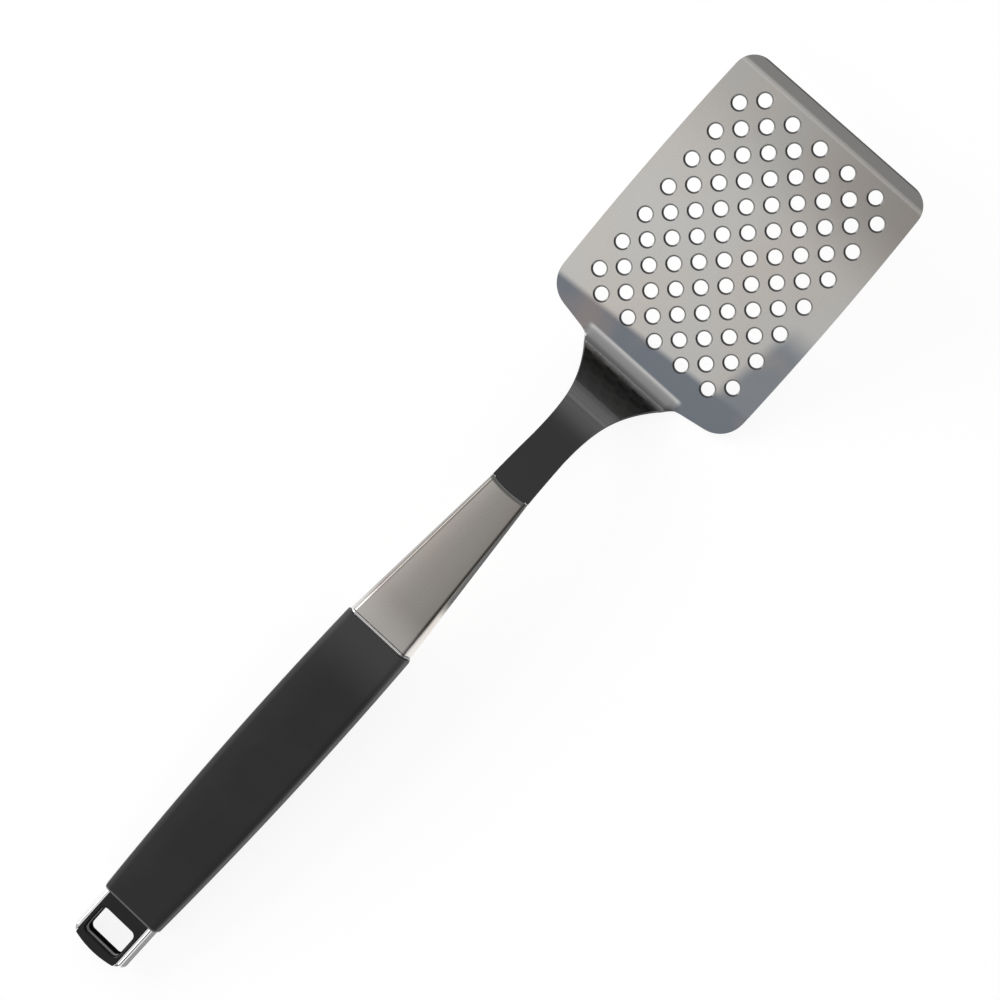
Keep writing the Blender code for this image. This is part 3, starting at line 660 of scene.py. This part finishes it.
def makePunches():
    startFresh()
    bpy.ops.mesh.primitive_circle_add(vertices=holes["segments"], radius=1, rotation=(0, quarterTurn, 0))
    punch = newPiece("punch")
    bpy.ops.object.mode_set(mode="EDIT")
    bpy.ops.mesh.select_all(action="SELECT")
    extrudeRows(len(holes["profile"]) - 1)

    def toRing(co):
        z, radius = holes["profile"][round(-co.x)]
        return Vector((co.z * radius, co.y * radius, z)) * mm

    moveVerts(toRing)
    bpy.ops.mesh.select_all(action="DESELECT")
    bpy.ops.mesh.select_non_manifold()
    bpy.ops.mesh.edge_face_add()
    bpy.ops.mesh.select_all(action="SELECT")
    bpy.ops.mesh.normals_make_consistent(inside=False)
    bpy.ops.object.mode_set(mode="OBJECT")
    punch.data.materials.append(finishes["blade"])
    punch.data.materials.append(finishes["punched"])
    punch.data.materials.append(finishes["rolled"])
    low, high = [holes["profile"][k][0] * mm for k in holes["wallRings"]]
    # hole walls take the dark sheared finish, partly real, partly painted shade; the rim's rear side takes it
    # too as a painted shadow crescent, and the rest of the rim takes the painted darker ring
    for face in punch.data.polygons:
        if low < face.center.z < high or (face.center.z > high and face.center.x < -holes["shadeFrom"]):
            face.material_index = 1
        else:
            face.material_index = 2 if face.center.z > high else 0
    return punch


def punchHoles(piece):
    punch = makePunches()
    pitch = holes["pitch"] / math.sqrt(2)
    copies = []
    for row in range(holes["rows"]):
        k = row - holes["rows"] // 2
        count = holes["odd"] if k % 2 else holes["even"]
        for i in range(count):
            copy = punch.copy()
            copy.data = punch.data.copy()
            copy.location = (k * pitch, (i - (count - 1) / 2) * 2 * pitch, 0)
            bpy.context.collection.objects.link(copy)
            copies.append(copy)
    workOn(punch)
    for copy in copies:
        copy.select_set(True)
    punch.select_set(False)
    bpy.context.view_layer.objects.active = copies[0]
    bpy.ops.object.join()
    bpy.data.objects.remove(punch)
    joined = bpy.context.object
    bpy.ops.object.transform_apply(location=True, rotation=True, scale=True)
    cutAway(piece, joined)
    mouth = blade["heel"] - blade["neckLength"]
    for at in holes["rivets"]:
        where = (mouth - at, 0, 0)
        cutAway(piece, addRod("rivetPunch", holes["rivetRadius"], holes["rivetPunch"], where, (0, 0, 0)))


def foldSheet(piece):
    flat = [vert.co.copy() for vert in piece.data.vertices]
    workOn(piece)
    bpy.ops.object.mode_set(mode="EDIT")
    for x, turn in reversed(foldLines()):
        for slack in (blade["foldSlack"], -blade["foldSlack"]):  # the fold line itself turns half way
            pick("VERT", lambda vert: flat[vert.index].x < x + slack)
            bpy.ops.transform.rotate(
                value=-math.radians(turn / 2), orient_axis="Y", center_override=(x, 0, 0))
    bpy.ops.object.mode_set(mode="OBJECT")
    low, high = blade["dimple"]
    for vert, start in zip(piece.data.vertices, flat):
        share = min(1, max(0, (abs(start.y) - low) / (high - low)))
        vert.co = vert.co.lerp(start, share * share * (3 - 2 * share))


print("pressing the blade")
bladePiece = flatBlank()
softenEdges(bladePiece, blade["rim"], 2, 50)
grindFrontEdge(bladePiece)
shadeEdges(bladePiece)
markShoulders(bladePiece)
foldSheet(bladePiece)
punchHoles(bladePiece)
finishPiece(bladePiece, "blade", bladePlace)


# round-cornered tubes for the handle: rows of one section, each set to its own size

section = {"size": 4, "corner": 1, "face": 1.999, "sideCuts": 3}  # the flat section before it's sized


def sizeSection(co, station):
    distance, halfWidth, halfThickness, edge, lean = station
    flatY, flatZ = min(abs(co.y), 1), min(abs(co.z), 1)
    y = flatY * (halfWidth - lean - edge) + (abs(co.y) - flatY) * edge
    z = flatZ * (halfThickness - edge) + (abs(co.z) - flatZ) * edge
    if abs(co.y) > section["face"]:
        y += lean * (1 - flatZ)
    return Vector((-distance, math.copysign(y, co.y), math.copysign(z, co.z)))


def makeTube(name, stations, edgeSteps, topCuts, closed):
    startFresh()
    bpy.ops.mesh.primitive_plane_add(size=section["size"], rotation=(0, quarterTurn, 0))
    piece = newPiece(name)
    bpy.ops.object.mode_set(mode="EDIT")
    bpy.ops.mesh.select_all(action="SELECT")
    bpy.ops.mesh.bevel(affect="VERTICES", offset=section["corner"], offset_type="OFFSET", segments=edgeSteps)
    bpy.ops.mesh.select_all(action="SELECT")
    bpy.ops.mesh.delete(type="ONLY_FACE")
    pick("EDGE", lambda edge: abs(edgeMiddle(edge).z) > section["face"])
    bpy.ops.mesh.subdivide(number_cuts=topCuts)
    pick("EDGE", lambda edge: abs(edgeMiddle(edge).y) > section["face"])
    bpy.ops.mesh.subdivide(number_cuts=section["sideCuts"])
    bpy.ops.mesh.select_mode(type="EDGE")
    bpy.ops.mesh.select_all(action="SELECT")
    extrudeRows(len(stations) - 1)
    moveVerts(lambda co: sizeSection(co, stations[round(-co.x)]))
    if closed:
        bpy.ops.mesh.select_all(action="DESELECT")
        bpy.ops.mesh.select_non_manifold()
        bpy.ops.mesh.bridge_edge_loops()
    bpy.ops.mesh.select_all(action="SELECT")
    bpy.ops.mesh.normals_make_consistent(inside=False)
    bpy.ops.object.mode_set(mode="OBJECT")
    return piece


def mix(first, second, share):
    return first + (second - first) * share


# the two steel halves of the handle

shell = {
    "wall": 0.8 * mm, "step": 73.9 * mm, "end": 241 * mm, "mouth": (9.1 * mm, 2.1 * mm),
    "stepHalf": (15.05 * mm, 7.2 * mm), "seat": (13.9 * mm, 6.2 * mm), "endHalf": (13.4 * mm, 5.8 * mm),
    "sag": 0.9 * mm, "lip": 0.45 * mm, "lipLength": 1.1 * mm, "endRounding": 2.9 * mm,
    "slotHalf": 10.3 * mm, "slotFrom": 218.2 * mm, "seam": 0.15 * mm, "rim": 0.16 * mm,
    "pinAt": 211 * mm, "pinHole": 1.8 * mm, "polishedFrom": 205 * mm, "cutLength": 60 * mm,
    "corner": 1.0 * mm, "cornerShare": 0.14, "leanShare": 0.19, "sagFades": 20 * mm,
}


def seatHalf(distance):
    share = (distance - shell["step"]) / (shell["end"] - shell["step"])
    return [mix(a, b, share) for a, b in zip(shell["seat"], shell["endHalf"])]


def shellStation(distance, lip=0.0, narrow=0.0):
    if distance <= shell["step"]:
        halfWidth, halfThickness = [mix(a, b, distance / shell["step"])
                                    for a, b in zip(shell["mouth"], shell["stepHalf"])]
    else:
        halfWidth, halfThickness = seatHalf(distance)
    edge = shell["corner"] + shell["cornerShare"] * halfThickness
    lean = shell["leanShare"] * halfThickness
    return (distance, halfWidth - narrow, halfThickness - lip, edge, lean)


def shellStations():
    stations = [shellStation(shell["lipLength"] * (1 - math.cos(turn)), shell["lip"] * (1 - math.sin(turn)))
                for turn in (0.0, 0.5, 1.0, 1.57)]
    stations += [shellStation(shell["step"] * k / 8) for k in range(1, 9)]
    stations += [shellStation(shell["step"] + 0.3 * mm), shellStation(150 * mm), shellStation(217 * mm)]
    rounding = shell["endRounding"]
    for k in range(9):
        turn = quarterTurn * k / 8
        stations.append(shellStation(shell["end"] - rounding + rounding * math.sin(turn), 0.0,
                                     rounding * (1 - math.cos(turn))))
    return stations


def addPinCutter():
    where = (-shell["pinAt"], 0, 0)
    return addRod("pinCutter", shell["pinHole"], shell["cutLength"], where, (quarterTurn, 0, 0))


def makeShellHalf(name, side):
    piece = makeTube(name, shellStations(), 8, 7, False)
    workOn(piece)
    bpy.ops.object.mode_set(mode="EDIT")
    bpy.ops.mesh.select_all(action="SELECT")
    bpy.ops.mesh.bisect(
        plane_co=(0, 0, side * shell["seam"]), plane_no=(0, 0, side),
        use_fill=False, clear_inner=True, threshold=tiny)

    def archMouth(co):
        lipShare = max(0.0, 1 + co.x / shell["sagFades"])
        arch = 1 - min(1, abs(co.y) / shell["mouth"][0]) ** 2
        return co - Vector((shell["sag"] * lipShare * arch, 0, 0))

    moveVerts(archMouth)
    bpy.ops.object.mode_set(mode="OBJECT")
    addModifier(piece, "SOLIDIFY", thickness=shell["wall"], offset=-1, use_even_offset=True)
    cutAway(piece, addBox("slotCutter", (-260 * mm, -shell["slotHalf"], -10 * mm),
                          (-shell["slotFrom"], shell["slotHalf"], 10 * mm)))
    cutAway(piece, addPinCutter())
    softenEdges(piece, shell["rim"], 2, 50)
    piece.data.materials.clear()
    piece.data.materials.append(finishes["brushed"])
    piece.data.materials.append(finishes["polished"])
    for face in piece.data.polygons:
        face.material_index = 1 if face.center.x < -shell["polishedFrom"] else 0
    return piece


print("forming the steel handle")
for node, side in (("handle_shell_top", 1), ("handle_shell_bottom", -1)):
    half = makeShellHalf("steelHalf" + ("Top" if side > 0 else "Bottom"), side)
    finishPiece(half, node, handlePlace)


# the polished collar and the soft grip

collar = {
    "start": 74.2 * mm, "end": 75.3 * mm, "proud": 0.1 * mm, "round": 0.35 * mm, "clear": 0.3 * mm,
    "corner": 2.0 * mm, "lean": 1.37 * mm, "seatCorner": 1.8 * mm,
}
grip = {
    "start": 75.6 * mm, "end": 219.9 * mm, "fullest": 125 * mm, "half": (16.55 * mm, 8.2 * mm),
    "barrel": (0.27, 0.14), "edge": 3 * mm, "lean": 0.7 * mm,
    "round": 0.35 * mm, "clear": 0.3 * mm, "rows": 30,
}


def seatStation(distance, clear):
    halfWidth, halfThickness = seatHalf(distance)
    corner = collar["seatCorner"] + clear
    return (distance, halfWidth + clear, halfThickness + clear, corner, shell["leanShare"] * halfThickness)


def collarStations():
    halfWidth, halfThickness = [size + collar["proud"] for size in shell["stepHalf"]]
    stations = [seatStation(collar["start"], collar["clear"])]
    for at, way in ((collar["start"], 1), (collar["end"], -1)):
        rounding = []
        for k in range(5):
            turn = quarterTurn * k / 4
            inset = collar["round"] * (1 - math.sin(turn))
            distance = at + way * collar["round"] * (1 - math.cos(turn))
            size = (halfWidth - inset, halfThickness - inset)
            rounding.append((distance, *size, collar["corner"], collar["lean"]))
        stations += rounding if way > 0 else rounding[::-1]
    return stations + [seatStation(collar["end"], collar["clear"])]


def gripStation(distance, inset=0.0):
    off = (distance - grip["fullest"]) ** 2
    halfWidth, halfThickness = [size - loss * off for size, loss in zip(grip["half"], grip["barrel"])]
    return (distance, halfWidth - inset, halfThickness - inset, grip["edge"] - inset / 2, grip["lean"])


def gripRounding(start, way):
    rounding = grip["round"]
    turns = [quarterTurn * k / 5 for k in range(6)]
    return [gripStation(start + way * rounding * (1 - math.cos(turn)), rounding * (1 - math.sin(turn)))
            for turn in turns]


def gripStations():
    front = gripRounding(grip["start"], 1)
    rear = gripRounding(grip["end"], -1)
    low, high = grip["start"] + grip["round"], grip["end"] - grip["round"]
    middle = [gripStation(mix(low, high, k / grip["rows"])) for k in range(1, grip["rows"])]
    seats = [seatStation(grip[end], grip["clear"]) for end in ("start", "end")]
    return seats[:1] + front + middle + rear[::-1] + seats[1:]


print("fitting the collar and the grip")
collarPiece = makeTube("gripCollar", collarStations(), 8, 7, True)
collarPiece.data.materials.append(finishes["polished"])
finishPiece(collarPiece, "grip_collar", handlePlace)

gripPiece = makeTube("gripSleeve", gripStations(), 10, 7, True)
gripPiece.data.materials.append(finishes["rubber"])
finishPiece(gripPiece, "grip_sleeve", handlePlace)


# the black insert with the hanging eye

insert = {
    "face": (218.5 * mm, 242.1 * mm), "half": (10.0 * mm, 5.8 * mm), "bulge": 1.3 * mm, "corner": 0.6 * mm,
    "core": (204 * mm, 239.6 * mm), "coreHalf": (11.0 * mm, 4.6 * mm),
    "eye": (225.8 * mm, 237.8 * mm), "eyeHalf": 8.5 * mm, "eyeCorner": 2.2 * mm, "rim": 0.45 * mm,
    "eyeFlare": [(4.7, 0), (5.05, 0.05), (5.35, 0.19), (5.6, 0.42), (5.78, 0.75), (5.95, 1.2), (9, 1.6)],
}


def makeEyeCutter():
    eyeStart, eyeEnd = insert["eye"]
    middle = -(eyeStart + eyeEnd) / 2
    flare = [(-z, extra) for z, extra in reversed(insert["eyeFlare"])] + insert["eyeFlare"]
    stations = [(z * mm, insert["eyeHalf"] + extra * mm, (eyeEnd - eyeStart) / 2 + extra * mm,
                 insert["eyeCorner"] + extra * mm, 0) for z, extra in flare]
    cutter = makeTube("eyeCutter", stations, 8, 3, False)
    bpy.ops.object.mode_set(mode="EDIT")
    moveVerts(lambda co: Vector((middle + co.z, co.y, co.x)))
    bpy.ops.mesh.select_all(action="DESELECT")
    bpy.ops.mesh.select_non_manifold()
    bpy.ops.mesh.edge_face_add()
    bpy.ops.mesh.select_all(action="SELECT")
    bpy.ops.mesh.normals_make_consistent(inside=False)
    bpy.ops.object.mode_set(mode="OBJECT")
    return cutter


def makeInsert():
    start, end = insert["face"]
    eyeStart, eyeEnd = insert["eye"]
    half, thick = insert["half"]
    piece = addBox("hangInsert", (-end + insert["bulge"], -half, -thick), (-start, half, thick))
    bpy.ops.object.mode_set(mode="EDIT")
    pick("EDGE", lambda edge: edgeRun(edge).y > 0.9)
    bpy.ops.mesh.subdivide(number_cuts=9)

    def bowEnd(co):
        if co.x > -end + insert["bulge"] + touching:
            return co
        return co - Vector((insert["bulge"] * (1 - (co.y / half) ** 2), 0, 0))

    moveVerts(bowEnd)
    pick("EDGE", lambda edge: edge.calc_face_angle(0) > 0.6 and edgeMiddle(edge).x < -start - touching)
    bpy.ops.mesh.bevel(offset=insert["rim"], segments=4)
    bpy.ops.object.mode_set(mode="OBJECT")
    low, high = insert["core"]
    width, depth = insert["coreHalf"]
    cutAway(piece, addBox("core", (-high, -width, -depth), (-low, width, depth)), "UNION")
    cutAway(piece, makeEyeCutter())
    cutAway(piece, addPinCutter())
    piece.data.materials.clear()
    piece.data.materials.append(finishes["plastic"])
    piece.data.materials.append(finishes["eyeWall"])
    for face in piece.data.polygons:
        inEye = -eyeEnd < face.center.x + touching and face.center.x - touching < -eyeStart
        inEye = inEye and abs(face.center.y) < insert["eyeHalf"] + touching
        face.material_index = 1 if inEye and abs(face.center.z) < insert["eyeFlare"][1][0] * mm else 0
    return piece


print("moulding the hanging insert")
insertPiece = makeInsert()
finishPiece(insertPiece, "hang_insert", handlePlace)


# hidden fittings keep their own shape and get a worked finish

print("finishing the hidden fittings")
fittings = {
    "tang_spacer_top": "nylon", "tang_spacer_bottom": "nylon", "tang_rivet_front": "rivet",
    "tang_rivet_rear": "rivet", "insert_pin": "rivet",
}
for name, finishName in fittings.items():
    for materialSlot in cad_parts[name].material_slots:
        materialSlot.material = finishes[finishName]


# floor, light and camera

# each card: middle, size, turn in degrees, brightness, colour
studio = {
    "floorAt": -0.75 * mm, "floorSize": 16, "floorGlow": 0.87,
    "floorLow": (0.22, 0.22, 0.22), "floorHigh": (0.24, 0.24, 0.24),
    "roomDark": 0.10, "roomLight": 0.46, "roomFade": (-0.7, 0.15), "backdrop": (0.95, 0.95, 0.95, 1),
    "cards": {
        "rearCard": ((-0.72, 0.05, 1.50), (0.46, 1.6), (0, 0, 0), 0.30, (1, 0.99, 0.97)),
        "farSide": ((-0.1, 1.6, 0.95), (1.6, 0.9), (-60, 0, 0), 2.5, (1, 1, 1)),
        "nearRear": ((-0.75, -0.95, 1.15), (0.6, 0.7), (40, 0, 0), 1.8, (1, 1, 1)),
        "frontLow": ((2.2, 0.0, 0.42), (0.8, 2.4), (0, 90, 0), 1.0, (1, 1, 1)),
    },
}


def addFloor():
    startFresh()
    bpy.ops.mesh.primitive_plane_add(size=studio["floorSize"], location=(0, 0, studio["floorAt"]))
    floor = newPiece("paleFloor")
    finish = Finish("paleFloorPaint", 0.9, 0.0)
    coords = finish.node("ShaderNodeTexCoord", {}, {}, "Object")
    tone = finish.noise(coords, 3.0, 2.0)
    colour = finish.blend(tone, studio["floorLow"], studio["floorHigh"])
    finish.shader.inputs["Specular IOR Level"].default_value = 0.0
    finish.shader.inputs["Emission Color"].default_value = (1, 1, 1, 1)
    finish.shader.inputs["Emission Strength"].default_value = studio["floorGlow"]
    floor.data.materials.append(finish.wear(colour=colour))


def addCard(name, middle, size, turn, brightness, colour):
    startFresh()
    bpy.ops.object.light_add(type="AREA", location=middle, rotation=[math.radians(angle) for angle in turn])
    light = bpy.context.object
    light.name = name
    light.data.shape = "RECTANGLE"
    light.data.size, light.data.size_y = size
    light.data.color = colour
    light.data.energy = brightness * math.pi * size[0] * size[1]
    light.visible_camera = False


def addWorld():
    world = bpy.data.worlds.new("studioRoom")
    world.use_nodes = True
    bpy.context.scene.world = world
    tree = world.node_tree
    coords = tree.nodes.new("ShaderNodeTexCoord")
    parts = tree.nodes.new("ShaderNodeSeparateXYZ")
    fade = tree.nodes.new("ShaderNodeMapRange")
    fade.inputs["From Min"].default_value, fade.inputs["From Max"].default_value = studio["roomFade"]
    fade.inputs["To Min"].default_value = studio["roomDark"]
    fade.inputs["To Max"].default_value = studio["roomLight"]
    seen = tree.nodes.new("ShaderNodeBackground")
    seen.inputs["Color"].default_value = studio["backdrop"]
    path = tree.nodes.new("ShaderNodeLightPath")
    choose = tree.nodes.new("ShaderNodeMixShader")
    room = tree.nodes["Background"]
    tree.links.new(coords.outputs["Generated"], parts.inputs["Vector"])
    tree.links.new(parts.outputs["Y"], fade.inputs["Value"])
    tree.links.new(fade.outputs["Result"], room.inputs["Color"])
    tree.links.new(path.outputs["Is Camera Ray"], choose.inputs["Fac"])
    tree.links.new(room.outputs["Background"], choose.inputs[1])
    tree.links.new(seen.outputs["Background"], choose.inputs[2])
    tree.links.new(choose.outputs["Shader"], tree.nodes["World Output"].inputs["Surface"])


view = {
    "location": (-0.0039, -0.0987, 1.0024), "lens": 91.8, "sensor": 36, "clip": (0.01, 50),
    "right": (0.6765, -0.7343, -0.0572), "up": (0.7361, 0.6713, 0.0870), "back": (-0.0255, -0.1009, 0.9946),
}


def addCamera():
    startFresh()
    bpy.ops.object.camera_add(location=view["location"])
    camera = bpy.context.object
    camera.data.sensor_width = view["sensor"]
    camera.data.lens = view["lens"]
    camera.data.clip_start, camera.data.clip_end = view["clip"]
    turn = Matrix((view["right"], view["up"], view["back"])).transposed()
    camera.rotation_euler = turn.to_euler()
    bpy.context.scene.camera = camera


print("lighting the studio")
addFloor()
addWorld()
for name, card in studio["cards"].items():
    addCard(name, *card)
addCamera()
bpy.context.scene.view_settings.view_transform = "Standard"

startFresh()
